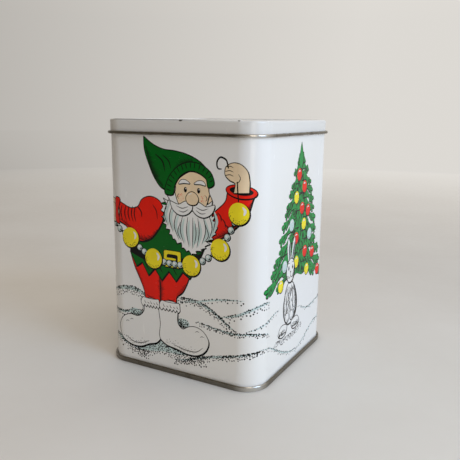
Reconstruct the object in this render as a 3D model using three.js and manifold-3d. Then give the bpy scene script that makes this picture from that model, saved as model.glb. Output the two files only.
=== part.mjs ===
// A tall square tin box with a slip-over lid: a printed body sheet, a double-seamed bottom end and a drawn lid.
// Millimetres, +Z up. The origin is at the middle of the foot that the tin stands on.
// The front picture faces -Y and the side picture faces +X.
//
// Every piece is thin tinplate. Its cross-section is drawn as a middle line in two coordinates: the offset
// outwards from the body's outer face, and the height. That section is then lofted round the rounded square.
import * as THREE from "three";
import { LoftGeometry } from "three/addons/geometries/LoftGeometry.js";
import { mergeVertices } from "three/addons/utils/BufferGeometryUtils.js";
import Module from "manifold-3d";

// Driving dimensions.
const SIDE = 126; // across the body's outer faces, both ways
const HEIGHT = 180; // from the foot to the top of the lid
const CORNER = 16; // outer radius of the body's upright corners
const SHEET = 0.25; // tinplate thickness
const GAP = 0.3; // running gap between two sheets
const CORNER_STEPS = 8; // facets round one upright corner
const ARC_STEP = 30; // degrees turned by one facet of a bend

// Double seam at the bottom.
const SEAM_HEIGHT = 3.8;
const FOOT_FLAT = 0.8; // flat width under the seam, which the tin stands on
const HOOK_CLEARANCE = 0.3; // from the end hook's tip to the middle of the body's bend
const PITCH = SHEET + GAP; // from one layer of the seam to the next

// Bottom panel.
const PANEL_HEIGHT = 4.5; // middle of the panel above the foot
const PANEL_BEND = 0.8;
const PANEL_STEP = { offset: -8, width: 1.2, depth: 0.8 }; // stiffening step pressed into the panel
const PANEL_LAP = 1; // a panel's flat middle runs this far under its border, where the two join

// Body rim.
const RIM_RADIUS = 0.9;
const RIM_SWEEP = 280; // degrees that the rim is curled through

// Lid.
const LID_EDGE = 1.2; // bend between the panel and the skirt
const LID_CURL_RADIUS = 0.95;
const LID_CURL_SWEEP = 280;
const LID_CURL_HEIGHT = 170.6; // middle of the curl above the foot
const LID_STEP = { offset: -5, width: 1.2, depth: 0.8 };

// Folded side seam, on the back.
const SIDE_SEAM = { x: -30, width: 4.5, folds: 2, grooveWidth: 0.4, grooveDepth: 0.1 };
const SIDE_SEAM_ENDS = { bottom: 6, top: 176.6 };

const WHITE = { color: 0xe9e7e2, roughness: 0.25, metalness: 0.0 };
const TINPLATE = { color: 0xa39d90, roughness: 0.35, metalness: 1.0 };

const wasm = await Module();
wasm.setup();

// Middle of the seam's layer n, counted outwards from the body wall, which is layer 0.
const layer = (n) => -SHEET / 2 + n * PITCH;

const at = (offset, z) => new THREE.Vector2(offset, z);

// Points of a bend about (offset, z), from one angle to another in degrees: 0 points outwards, 90 up.
function bend(offset, z, radius, from, to) {
  const steps = Math.max(1, Math.round(Math.abs(to - from) / ARC_STEP));
  const [start, end] = [from, to].map(THREE.MathUtils.degToRad);
  return new THREE.EllipseCurve(offset, z, radius, radius, start, end, to < from).getPoints(steps);
}

// The outline of a sheet whose middle follows the path: out along its right-hand face and back along the other.
function sheetOutline(path) {
  const points = path.filter((p, i) => i === 0 || p.distanceTo(path[i - 1]) > 1e-6);
  const faces = { right: [], left: [] };
  points.forEach((p, i) => {
    const into = p.clone().sub(points[Math.max(i - 1, 0)]);
    const out = points[Math.min(i + 1, points.length - 1)].clone().sub(p);
    const [a, b] = [into.lengthSq() ? into : out, out.lengthSq() ? out : into].map((d) => d.normalize());
    const along = a.clone().add(b).normalize();
    const reach = SHEET / 2 / along.dot(a); // mitre
    const normal = at(along.y, -along.x).multiplyScalar(reach);
    faces.right.push(p.clone().add(normal));
    faces.left.push(p.clone().sub(normal));
  });
  return [...faces.right, ...faces.left.reverse()];
}

// The body's rounded square, moved outwards by the offset, at height z, counterclockwise from above.
function ring({ x: offset, y: z }) {
  const middle = SIDE / 2 - CORNER;
  return [0, 1, 2, 3].flatMap((quarter) => {
    const start = (quarter * Math.PI) / 2;
    const centre = new THREE.Vector3(middle, middle, z).applyAxisAngle(new THREE.Vector3(0, 0, 1), start);
    const arc = new THREE.EllipseCurve(
      centre.x,
      centre.y,
      CORNER + offset,
      CORNER + offset,
      start,
      start + Math.PI / 2,
    );
    return arc.getPoints(CORNER_STEPS).map((p) => new THREE.Vector3(p.x, p.y, z));
  });
}

// A sheet that runs all the way round and is open in the middle, such as a wall.
function wallGeometry(path) {
  const outline = sheetOutline(path);
  return new LoftGeometry([...outline, outline[0]].map(ring));
}

function solidOf(geometry) {
  const faces = new THREE.BufferGeometry().setIndex(geometry.index);
  const merged = mergeVertices(faces.setAttribute("position", geometry.attributes.position), 1e-4);
  return new wasm.Manifold(
    new wasm.Mesh({
      numProp: 3,
      vertProperties: merged.attributes.position.array,
      triVerts: new Uint32Array(merged.index.array),
    }),
  );
}

function geometryOf(solid) {
  const { vertProperties, triVerts } = solid.getMesh();
  const geometry = new THREE.BufferGeometry()
    .setAttribute("position", new THREE.BufferAttribute(vertProperties, 3))
    .setIndex(new THREE.BufferAttribute(triVerts, 1))
    .toNonIndexed();
  geometry.computeVertexNormals();
  return geometry;
}

// A sheet whose path starts at the edge of a panel's flat middle, joined to that flat middle.
function panelGeometry(path) {
  const { x: edge, y: z } = path[0];
  const faces = [z - SHEET / 2, z + SHEET / 2];
  const middle = new LoftGeometry(
    faces.map((face) => ring(at(edge + PANEL_LAP, face))),
    { capStart: true, capEnd: true },
  );
  return geometryOf(solidOf(wallGeometry(path)).add(solidOf(middle)));
}

// The pressed step round a panel's flat middle, and the flat border outside it.
function panelPath(z, { offset, width, depth }) {
  return [
    at(offset - width - 2 * PANEL_LAP, z - depth),
    at(offset - width, z - depth),
    at(offset, z),
  ];
}

// The body sheet: rim curled inwards, wall, and the hook that the bottom end is folded round.
function bodyWallGeometry() {
  const foldCentre = SHEET / 2 + 2 * PITCH;
  const hookTip = SEAM_HEIGHT - SHEET / 2 - PITCH;
  const rimCentre = HEIGHT - SHEET - GAP - SHEET / 2 - RIM_RADIUS;
  return wallGeometry([
    at(layer(2), hookTip),
    ...bend(layer(1), foldCentre, PITCH, 0, -180),
    ...bend(layer(0) - RIM_RADIUS, rimCentre, RIM_RADIUS, 0, RIM_SWEEP),
  ]);
}

// A box across the back wall that covers the side seam's width and runs over its depth range.
function seamBox(width, outer, inner, bottom, top) {
  return new THREE.BoxGeometry(width, outer - inner, top - bottom).translate(
    SIDE_SEAM.x,
    SIDE / 2 + (outer + inner) / 2,
    (top + bottom) / 2,
  );
}

// The side seam shows as a fine groove outside and as a flat band of folded sheet inside.
function withSideSeam(geometry) {
  const { width, folds, grooveWidth, grooveDepth } = SIDE_SEAM;
  const { bottom, top } = SIDE_SEAM_ENDS;
  const fold = seamBox(width, -SHEET / 2, -SHEET * (1 + folds), bottom, top);
  const groove = seamBox(grooveWidth, SHEET, -grooveDepth, SEAM_HEIGHT + GAP, top);
  return geometryOf(solidOf(geometry).add(solidOf(fold)).subtract(solidOf(groove)));
}

// The bottom end: stepped panel, the wall that stands inside the body, the foot, and the hook folded over it.
function bottomEndGeometry() {
  const footBend = (4 * PITCH - FOOT_FLAT) / 2;
  const footCentre = SHEET / 2 + footBend;
  const foldTop = SEAM_HEIGHT - SHEET / 2 - PITCH;
  const hookTip = SHEET / 2 + 2 * PITCH + HOOK_CLEARANCE;
  return panelGeometry([
    ...panelPath(PANEL_HEIGHT, PANEL_STEP),
    ...bend(layer(-1) - PANEL_BEND, PANEL_HEIGHT - PANEL_BEND, PANEL_BEND, 90, 0),
    ...bend(layer(-1) + footBend, footCentre, footBend, 180, 270),
    ...bend(layer(3) - footBend, footCentre, footBend, 270, 360),
    ...bend(layer(2), foldTop, PITCH, 0, 180),
    at(layer(1), hookTip),
  ]);
}

// The lid: stepped panel, rounded edge, skirt, and a curl rolled outwards along the skirt's lower edge.
function lidGeometry() {
  const skirt = GAP + SHEET / 2;
  const top = HEIGHT - SHEET / 2;
  return panelGeometry([
    ...panelPath(top, LID_STEP),
    ...bend(skirt - LID_EDGE, top - LID_EDGE, LID_EDGE, 90, 0),
    ...bend(skirt + LID_CURL_RADIUS, LID_CURL_HEIGHT, LID_CURL_RADIUS, 180, 180 + LID_CURL_SWEEP),
  ]);
}

function piece(name, geometry, finish) {
  const mesh = new THREE.Mesh(geometry, new THREE.MeshStandardMaterial(finish));
  mesh.name = name;
  return mesh;
}

const tin = new THREE.Group();
tin.add(piece("body_wall", withSideSeam(bodyWallGeometry()), WHITE));
tin.add(piece("bottom_end", bottomEndGeometry(), TINPLATE));
tin.add(piece("lid", lidGeometry(), WHITE));

export default tin;
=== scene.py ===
# A tall square biscuit tin: fine sheet metal, glossy enamel, bare tinplate and a printed winter picture.
# The CAD nodes set the sizes. Lengths below are millimetres, and meshes are made in metres.
import random
from math import atan, ceil, copysign, cos, dist, hypot, pi, radians, sin, sqrt

import bpy
import numpy as np
from mathutils import Matrix, Vector, geometry


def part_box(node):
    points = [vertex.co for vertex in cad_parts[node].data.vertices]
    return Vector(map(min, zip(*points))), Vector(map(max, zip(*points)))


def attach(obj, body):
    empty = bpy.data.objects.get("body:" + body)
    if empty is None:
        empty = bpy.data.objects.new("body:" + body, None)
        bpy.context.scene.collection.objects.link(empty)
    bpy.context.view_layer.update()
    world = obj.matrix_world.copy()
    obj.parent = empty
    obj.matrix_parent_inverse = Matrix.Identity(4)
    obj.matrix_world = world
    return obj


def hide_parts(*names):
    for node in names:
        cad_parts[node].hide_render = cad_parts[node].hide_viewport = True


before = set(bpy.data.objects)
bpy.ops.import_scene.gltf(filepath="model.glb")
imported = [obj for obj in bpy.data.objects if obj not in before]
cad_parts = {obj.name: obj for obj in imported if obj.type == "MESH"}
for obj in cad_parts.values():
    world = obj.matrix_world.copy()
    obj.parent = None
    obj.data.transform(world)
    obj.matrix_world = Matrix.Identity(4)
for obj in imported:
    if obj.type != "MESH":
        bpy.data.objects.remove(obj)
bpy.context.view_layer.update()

# ---- sizes
MM = 0.001
SHEET = 0.25  # tinplate thickness
GAP = 0.3  # running gap between two sheets
PITCH = SHEET + GAP  # from one layer of the bottom seam to the next
SEAM_OUT = 3 * PITCH  # the seam's outer face, from the body's outer face
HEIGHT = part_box("lid")[1].z / MM
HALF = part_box("bottom_end")[1].x / MM - SEAM_OUT  # half the body's width
CORNER = 16  # outer radius of the upright corners
STRAIGHT = 2 * (HALF - CORNER)
QUARTER = STRAIGHT + CORNER * pi / 2  # one side and one corner, along the wall
CORNER_STEPS = 28
FLAT_STEPS = 8
BEND_STEP = 12  # degrees turned by one facet of a bend

SEAM_HEIGHT = 3.8
FOOT_FLAT = 0.8
HOOK_TIP = 1.6  # height where the bottom end's folded edge stops
PANEL_HEIGHT = 4.5
PANEL_BEND = 0.8
RIM_RADIUS = 0.9
CURL_SWEEP = 280
LID_EDGE = 1.2
LID_CURL = 0.95
LID_CURL_HEIGHT = 170.6
STEP_DEPTH = 0.8
STEP_ANGLE = 40
STEP_BEND = 0.8
LID_BORDER = 5.0  # the lid's raised border reaches this far in from the body's outer face
PANEL_BORDER = 8.0
STEP_START = 2.5  # how far inside a border's edge the step begins
CROWN_END = 3  # how far inside a border's edge the panel's slight bulge ends
PANEL_HUB = 0.2  # the size of a panel's middle face, as a share of the distance between its rings

# The folded side seam.
SEAM_AT = 1.5 * QUARTER + 30  # along the wall from the near corner
SEAM_WIDE = 4.5
SEAM_FOLD = 2 * SHEET
SEAM_SLOPE = 0.3  # width of the slope at each side of the fold
SEAM_LOW, SEAM_TOP = 6, 176.6
SEAM_END = 0.4  # length of the slope at each end of the fold
SEAM_STRIP = 0.6  # half the width that is left unprinted over it
GROOVE_FLOOR, GROOVE_MOUTH = 0.1, 0.25  # half widths of the fine groove that shows outside
GROOVE_DEPTH = 0.1


def layer(n):
    """Middle of the bottom seam's layer n, counted outwards from the body wall."""
    return -SHEET / 2 + n * PITCH


def unit(degrees):
    """The horizontal and vertical parts of one unit at this angle."""
    return cos(radians(degrees)), sin(radians(degrees))


def travelled(path):
    """The distance along a path to each of its points."""
    return np.concatenate([[0], np.cumsum(np.linalg.norm(np.diff(path, axis=0), axis=1))])


def placed(data):
    """A new object with this data, in the scene."""
    thing = bpy.data.objects.new(data.name, data)
    bpy.context.scene.collection.objects.link(thing)
    return thing


def smooth_mesh(name, points, faces, materials):
    """A smooth-shaded mesh."""
    mesh = bpy.data.meshes.new(name)
    mesh.from_pydata(points, [], faces)
    for material in materials:
        mesh.materials.append(material)
    mesh.polygons.foreach_set("use_smooth", [True] * len(mesh.polygons))
    mesh.update()
    return mesh


# ---- sheet metal
class Bent:
    """The middle line of a bent sheet's section: it walks outwards (offset) and upwards (z)."""

    def __init__(self, offset, z, heading, finish):
        self.offset, self.z, self.heading, self.finish = offset, z, heading, finish
        self.points = [(offset, z, heading, finish)]

    def note(self):
        self.points.append((self.offset, self.z, self.heading, self.finish))

    def ahead(self, length, rows=1):
        c, s = unit(self.heading)
        for _ in range(rows):
            self.offset += c * length / rows
            self.z += s * length / rows
            self.note()
        return self

    def bend(self, degrees, radius):
        """Turns left for positive degrees."""
        side = copysign(90, degrees)
        c, s = unit(self.heading + side)
        centre = self.offset + radius * c, self.z + radius * s
        steps = max(2, ceil(abs(degrees) / BEND_STEP))
        start = self.heading
        for i in range(1, steps + 1):
            self.heading = start + degrees * i / steps
            c, s = unit(self.heading - side)
            self.offset, self.z = centre[0] + radius * c, centre[1] + radius * s
            self.note()
        return self

    def ahead_to(self, offset=None, z=None, rows=1):
        c, s = unit(self.heading)
        length = (offset - self.offset) / c if z is None else (z - self.z) / s
        return self.ahead(length, rows)

    def step_up(self, depth):
        slope = radians(STEP_ANGLE)
        straight = (depth - 2 * STEP_BEND * (1 - cos(slope))) / sin(slope)
        return self.bend(STEP_ANGLE, STEP_BEND).ahead(straight).bend(-STEP_ANGLE, STEP_BEND)

    def painted(self, finish):
        """The sheet has this finish from here on."""
        self.finish = finish
        self.points[-1] = (*self.points[-1][:3], finish)
        return self


def wall(s):
    """The place at a distance s along the wall from the near corner's middle, and the way out there."""
    turn, s = divmod(s + CORNER * pi / 4, QUARTER)
    angle = -pi / 2 + min(s / CORNER, pi / 2) + turn * pi / 2
    out = np.array([cos(angle), sin(angle)])
    inner = HALF - CORNER
    c, t = cos(turn * pi / 2), sin(turn * pi / 2)
    centre = np.array([inner * c + inner * t, inner * t - inner * c])
    run = max(0, s - CORNER * pi / 2)
    return centre + CORNER * out + run * np.array([-out[1], out[0]]), out


def stations():
    """Distances along the wall of the section's copies, closer at the corners and the side seam."""
    marks = []
    for quarter in range(4):
        first = quarter * QUARTER - CORNER * pi / 4
        flat = first + CORNER * pi / 2
        marks += [first + CORNER * pi / 2 * i / CORNER_STEPS for i in range(CORNER_STEPS)]
        marks += [flat + STRAIGHT * i / FLAT_STEPS for i in range(FLAT_STEPS)]
    half = SEAM_WIDE / 2
    marks = [m for m in marks if abs(m - SEAM_AT) > half + 1]
    for away in (half + SEAM_SLOPE, half, GROOVE_MOUTH, GROOVE_FLOOR):
        marks += [SEAM_AT - away, SEAM_AT + away]
    return sorted(marks)


def sheet_rings(bent):
    """The section's outline, right-hand face first, as rings: offset, z, normal, finish, side."""
    right, left = [], []
    for offset, z, heading, finish in bent.points:
        c, s = unit(heading)
        u, v = s, -c
        right.append((offset + u * SHEET / 2, z + v * SHEET / 2, (u, v), finish[0], 1))
        left.append((offset - u * SHEET / 2, z - v * SHEET / 2, (-u, -v), finish[1], -1))
    return right + left[::-1]


def swept(rings, scales, around):
    """The rings' points and normals, taken round the rounded square."""
    base, out = (np.array(part) for part in zip(*(wall(s) for s in around)))
    points = np.zeros((len(rings), len(around), 3))
    normals = np.zeros_like(points)
    for i, (offset, z, normal, *_) in enumerate(rings):
        points[i, :, :2] = (base + out * offset) * scales[i]
        points[i, :, 2] = z
        normals[i, :, :2] = out * normal[0]
        normals[i, :, 2] = normal[1]
    return points, normals


def moved(points, normals, side, relief):
    """Points moved along their normals by relief(points, side), and the moved surface's normals."""
    reach = 0.05
    height = relief(points, side)
    slope = np.zeros_like(points)
    for axis in range(3):
        step = np.zeros(3)
        step[axis] = reach
        slope[..., axis] = (relief(points + step, side) - relief(points - step, side)) / (2 * reach)
    along = slope - np.sum(slope * normals, -1, keepdims=True) * normals
    tilted = normals - along
    return points + height[..., None] * normals, tilted / np.linalg.norm(tilted, axis=-1, keepdims=True)


def sheet_piece(name, bent, finishes, relief, middle=0):
    """The bent sheet taken round the rounded square. middle closes it with that many inner rings."""
    rings = sheet_rings(bent)
    scales = [1.0] * len(rings)
    if middle:
        shrink = [1 - i / (middle + PANEL_HUB) for i in range(1, middle + 1)]
        rings = [rings[0]] * middle + rings + [rings[-1]] * middle
        scales = shrink[::-1] + scales + shrink
    around = stations()
    wide, tall = len(around), len(rings)
    points, normals = swept(rings, scales, around)
    points, normals = moved(points, normals, np.array([r[4] for r in rings])[:, None], relief)
    walked = travelled(points[:, 0])

    slot = {finish: k for k, finish in enumerate(finishes)}
    faces, slots, corners, coords = [], [], [], []
    turn = tall // 2 - 1  # the row of faces that is the sheet's cut edge
    for i in range(tall - 1 if middle else tall):
        j = (i + 1) % tall
        cut = i == turn or j == 0
        top = walked[j] if j else walked[i] + SHEET
        for k in range(wide):
            m = (k + 1) % wide
            quad = [(i, k), (i, m), (j, m), (j, k)]
            faces.append([r * wide + c for r, c in quad])
            slots.append(slot[rings[j if i > turn else i][3]])
            edge = np.cross(points[i, m] - points[i, k], points[j, k] - points[i, k])
            corners += [edge / (np.linalg.norm(edge) or 1) if cut else normals[r, c] for r, c in quad]
            far = around[m] if m else around[m] + 4 * QUARTER
            coords += [(around[k], walked[i]), (far, walked[i]), (far, top), (around[k], top)]
    points = points.reshape(-1, 3) * MM
    for ring, way in ((0, -1), (tall - 1, 1)) if middle else ():
        rim = list(range(ring * wide, (ring + 1) * wide))[::way]
        faces.append(rim)
        slots.append(slot[rings[ring][3]])
        corners += list(normals[ring, ::way])
        coords += list(points[rim, :2] / MM)

    mesh = smooth_mesh(name, points, faces, finishes.values())
    mesh.polygons.foreach_set("material_index", slots)
    mesh.uv_layers.new(name="sheet").data.foreach_set("uv", [c * MM for uv in coords for c in uv])
    mesh.normals_split_custom_set([tuple(n) for n in corners])
    return placed(mesh)


# ---- materials
GROUND = (0.80, 0.795, 0.785)
LID_GROUND = (0.715, 0.708, 0.695)  # greyer than the body's ground
YELLOWING = (0.985, 0.97, 0.935)  # how much of each primary is left in yellowed patches
RUB_GREY = (0.52, 0.50, 0.47)
# dark steel for the lid's chips and for its painted shade line
WORN_STEEL_AND_EDGE_SHADE = (0.06, 0.052, 0.045)
# bright metal for the rubbed corners and for the painted highlight at the near corner
RUBBED_AND_HIGHLIT_METAL = (0.56, 0.54, 0.50)


class Nodes:
    """Builds the nodes of a material or of the world. Textures are laid out in metres."""

    def __init__(self, owner):
        owner.use_nodes = True
        self.tree = owner.node_tree
        self.coordinates = self.add("TexCoord").outputs
        self.place = self.coordinates["Object"]

    def add(self, kind, inputs=None, **settings):
        node = self.tree.nodes.new("ShaderNode" + kind)
        for key, value in settings.items():
            setattr(node, key, value)
        for key, value in (inputs or {}).items():
            self.put(node.inputs[key], value)
        return node

    def put(self, socket, value):
        if isinstance(value, bpy.types.NodeSocket):
            self.tree.links.new(value, socket)
        elif isinstance(value, tuple) and len(value) == 3 and socket.type == "RGBA":
            socket.default_value = (*value, 1)
        else:
            socket.default_value = value

    def noise(self, scale, detail, stretch=(1, 1, 1), roughness=0.5, place=None):
        spread = self.add("Mapping", {"Vector": place or self.place, "Scale": stretch})
        inputs = {"Vector": spread.outputs[0], "Scale": scale, "Detail": detail, "Roughness": roughness}
        return self.add("TexNoise", inputs).outputs["Fac"]

    def spread(self, value, low, high, to_low=0.0, to_high=1.0):
        """Maps the range low to high onto another, clamped."""
        inputs = {"Value": value, "From Min": low, "From Max": high, "To Min": to_low, "To Max": to_high}
        return self.add("MapRange", inputs).outputs[0]

    def mix(self, factor, a, b):
        node = self.add("Mix", {0: factor}, data_type="RGBA")
        self.put(node.inputs["A"], a)
        self.put(node.inputs["B"], b)
        return node.outputs["Result"]

    def xyz(self, vector):
        return self.add("SeparateXYZ", {0: vector}).outputs

    def maths(self, operation, a, b=0):
        return self.add("Math", {0: a, 1: b}, operation=operation).outputs[0]

    def times(self, a, b):
        return self.maths("MULTIPLY", a, b)

    def bump(self, height, distance, strength=1.0, under=None):
        inputs = {"Height": height, "Distance": distance, "Strength": strength}
        if under:
            inputs["Normal"] = under
        return self.add("Bump", inputs).outputs[0]

    def near(self, x, y, z, radius):
        """1 at a place in millimetres, falling to 0 at the radius."""
        offset = self.add("VectorMath", {0: self.place, 1: (x * MM, y * MM, z * MM)}, operation="DISTANCE")
        return self.spread(offset.outputs["Value"], 0, radius * MM, 1.0, 0.0)


class Finish(Nodes):
    """One material, and the nodes that feed its shader."""

    def __init__(self, name):
        self.material = bpy.data.materials.new(name)
        super().__init__(self.material)
        self.shader = self.tree.nodes["Principled BSDF"]

    def set(self, **values):
        for key, value in values.items():
            self.put(self.shader.inputs[key.replace("_", " ")], value)


def lacquer(nodes, gloss=1.0, chips_and_edge_shade=None):
    """Gloss and fine unevenness that the white ground and the inks on it share. Chipped places and the
    painted shade line at the lid's edge are dull.
    """
    haze = nodes.spread(nodes.noise(90, 4), 0.35, 0.7, 0.16, 0.27)
    scuffs = nodes.spread(nodes.noise(220, 5, stretch=(1, 1, 0.12), roughness=0.7), 0.6, 0.75, 0, 0.12)
    rough = nodes.maths("ADD", haze, scuffs)
    waves = nodes.bump(nodes.noise(14, 1), 0.0006)
    peel = nodes.bump(nodes.noise(900, 2), 0.000006, under=waves)
    coat = 0.35 * gloss
    if chips_and_edge_shade:
        rough = nodes.maths("MAXIMUM", rough, nodes.times(chips_and_edge_shade, 0.85))
        coat = nodes.spread(chips_and_edge_shade, 0, 0.3, coat, 0)
    nodes.set(Roughness=rough, Normal=peel, Specular_IOR_Level=0.5 * gloss)
    nodes.set(Coat_Weight=coat, Coat_Roughness=0.08)


def enamel(name, ground, chipped_and_edge_shaded=False):
    """White ground coat, faintly mottled and yellowed, with grey rub marks, and on the lid its chips and a
    painted shade line along the top edge.
    """
    nodes = Finish(name)
    aged = tuple(c * k for c, k in zip(ground, YELLOWING))
    tone = nodes.mix(nodes.spread(nodes.noise(9, 3), 0.4, 0.7), ground, aged)
    rubs = nodes.spread(nodes.noise(60, 6, stretch=(1, 1, 0.25), roughness=0.75), 0.66, 0.8, 0, 0.35)
    tone = nodes.mix(rubs, tone, RUB_GREY)
    chips_and_edge_shade = lid_chips_and_painted_edge_shade(nodes) if chipped_and_edge_shaded else None
    if chipped_and_edge_shaded:
        # painted shade: the dark line along the lid's top edge, together with the real chips
        tone = nodes.mix(chips_and_edge_shade, tone, WORN_STEEL_AND_EDGE_SHADE)
    nodes.set(Base_Color=tone)
    lacquer(nodes, chips_and_edge_shade=chips_and_edge_shade)
    return nodes.material


def lid_chips_and_painted_edge_shade(nodes):
    """Where the lid's enamel is dark: a fine line along the picture side's top edge, which is painted shade,
    and two chips where the enamel is gone.
    """
    x, y, z = nodes.xyz(nodes.place)
    edge = nodes.spread(z, (HEIGHT - 0.7) * MM, (HEIGHT - 0.3) * MM)
    side = nodes.spread(y, (1.4 - HALF) * MM, (0.9 - HALF) * MM)
    along = nodes.spread(x, 5 * MM, 30 * MM, 1.0, 0.0)
    dashes = nodes.times(along, nodes.spread(nodes.noise(75, 5, roughness=0.65), 0.3, 0.5, 0.5, 1.0))
    # the edge line is painted shade, and it fades out along the picture side towards the near corner
    line = nodes.times(nodes.times(edge, side), dashes)
    ragged = nodes.spread(nodes.noise(500, 3), 0.3, 0.7, -0.2, 0.2)
    large = nodes.near(4.6, -HALF - 0.2, HEIGHT + 0.2, 3.3)
    small = nodes.near(47.5, -HALF + 0.3, HEIGHT + 0.3, 2.4)
    chips = nodes.maths("ADD", nodes.maths("MAXIMUM", large, small), ragged)
    return nodes.maths("MAXIMUM", nodes.times(line, 0.8), nodes.spread(chips, 0.5, 0.58))


def rubbed_corners_and_painted_highlight(nodes):
    """How much bright metal is painted: 0 along the sides, more at the corners, where handling rubs it
    bright, and 1 at the near one, which is a painted highlight.
    """
    x, y, _ = nodes.xyz(nodes.place)
    across = nodes.maths("MINIMUM", nodes.maths("ABSOLUTE", x), nodes.maths("ABSOLUTE", y))
    corner = nodes.spread(across, (HALF - CORNER - 1) * MM, (HALF - CORNER + 9) * MM)
    # painted highlight: the near corner gets the full amount of bright metal, the other corners far less
    near = nodes.spread(nodes.maths("SUBTRACT", x, y), HALF * MM, 1.7 * HALF * MM, 0.15, 1.0)
    return nodes.times(corner, near)


def tinplate(name, color, dark, dirt, rubbed_and_highlit=False):
    """Bare tin-coated steel: bright metal with rolling lines, cloudy spangle and brown tarnish, and
    optionally bright corners that are partly rubbing and partly a painted highlight.
    """
    nodes = Finish(name)
    metre = nodes.add("UVMap", uv_map="sheet").outputs[0]
    rolled = nodes.noise(700, 4, stretch=(0.02, 1, 1), place=metre)
    spangle = nodes.spread(nodes.noise(260, 3), 0.3, 0.7)
    tarnish = nodes.spread(nodes.noise(70, 6, roughness=0.7), 0.48, 0.72, 0, dirt)
    bright = nodes.mix(spangle, color, tuple(c * 0.86 for c in color))
    if rubbed_and_highlit:
        # painted highlight: the corners' metal is made bright and clean, partly as rubbing and fullest at the
        # near corner
        shine = rubbed_corners_and_painted_highlight(nodes)
        bright = nodes.mix(shine, bright, RUBBED_AND_HIGHLIT_METAL)
        tarnish = nodes.times(tarnish, nodes.spread(shine, 0, 1, 1.0, 0.15))
    nodes.set(
        Base_Color=nodes.mix(tarnish, bright, dark),
        Metallic=1.0,
        Roughness=nodes.maths("ADD", nodes.spread(rolled, 0.3, 0.7, 0.12, 0.26), nodes.times(tarnish, 0.4)),
        Normal=nodes.bump(rolled, 0.00001, under=nodes.bump(nodes.noise(40, 2), 0.0002)),
    )
    return nodes.material


WHITE = enamel("white_enamel", GROUND)
LID_WHITE = enamel("lid_enamel", LID_GROUND, chipped_and_edge_shaded=True)
BARE = tinplate("bare_tinplate", (0.185, 0.166, 0.134), (0.055, 0.044, 0.032), 0.65, rubbed_and_highlit=True)
INSIDE = tinplate("plain_tinplate_inside", (0.70, 0.675, 0.62), (0.38, 0.33, 0.26), 0.35)

# ---- drawing
STEP = 0.7  # length of a curve's straight pieces
PEN = 1.18  # how broad the pen's nib is
SHADOW = np.array([0.5, -0.86])  # the way to the lower right, where outlines are heavier


def smooth(points, closed=False):
    """A smooth curve through the points. A point with a third value is a sharp corner."""
    sharp = [len(p) > 2 for p in points]
    at = np.array([p[:2] for p in points], float)
    count = len(at)
    spans = count if closed else count - 1
    length = [dist(at[i], at[(i + 1) % count]) or 1e-6 for i in range(spans)]
    ahead = [(at[(i + 1) % count] - at[i]) / length[i] for i in range(spans)]

    def tangents(i):
        before = ahead[i - 1] if closed or i > 0 else None
        after = ahead[i % spans] if closed or i < spans else None
        if before is None or after is None or sharp[i % count]:
            return before, after
        a, b = length[i - 1], length[i % spans]
        both = (before * b + after * a) / (a + b)
        return both, both

    pieces = []
    for i in range(spans):
        start, end = at[i], at[(i + 1) % count]
        leave = tangents(i)[1] * length[i]
        arrive = tangents((i + 1) % count if closed else i + 1)[0] * length[i]
        t = np.linspace(0, 1, max(2, ceil(length[i] / STEP) + 1))[:-1, None]
        pieces.append(
            (2 * t**3 - 3 * t**2 + 1) * start
            + (t**3 - 2 * t**2 + t) * leave
            + (3 * t**2 - 2 * t**3) * end
            + (t**3 - t**2) * arrive
        )
    if not closed:
        pieces.append(at[-1:])
    return np.concatenate(pieces)


def oval(x, z, wide, high=None, turn=0, steps=None):
    """An ellipse of the given half width and half height."""
    high = high or wide
    a = np.linspace(0, 2 * pi, steps or max(12, int(9 * sqrt(max(wide, high)))), endpoint=False)
    c, s = unit(turn)
    u, v = wide * np.cos(a), high * np.sin(a)
    return np.stack([x + u * c - v * s, z + u * s + v * c], 1)


def sides(path, closed=False):
    """The unit vector to the left of the way that the path runs, at each of its points."""
    along = np.roll(path, -1, 0) - np.roll(path, 1, 0) if closed else np.gradient(path, axis=0)
    along /= np.maximum(np.linalg.norm(along, axis=1, keepdims=True), 1e-9)
    return np.stack([-along[:, 1], along[:, 0]], 1)


def tracked(points):
    """A smooth curve's length, and what gives x, z and the way to its left at a distance along it."""
    path = smooth(points)
    left = sides(path)
    walked = travelled(path)

    def at(distance):
        return (np.interp(distance, walked, values) for values in (*path.T, *left.T))

    return walked[-1], at


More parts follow.
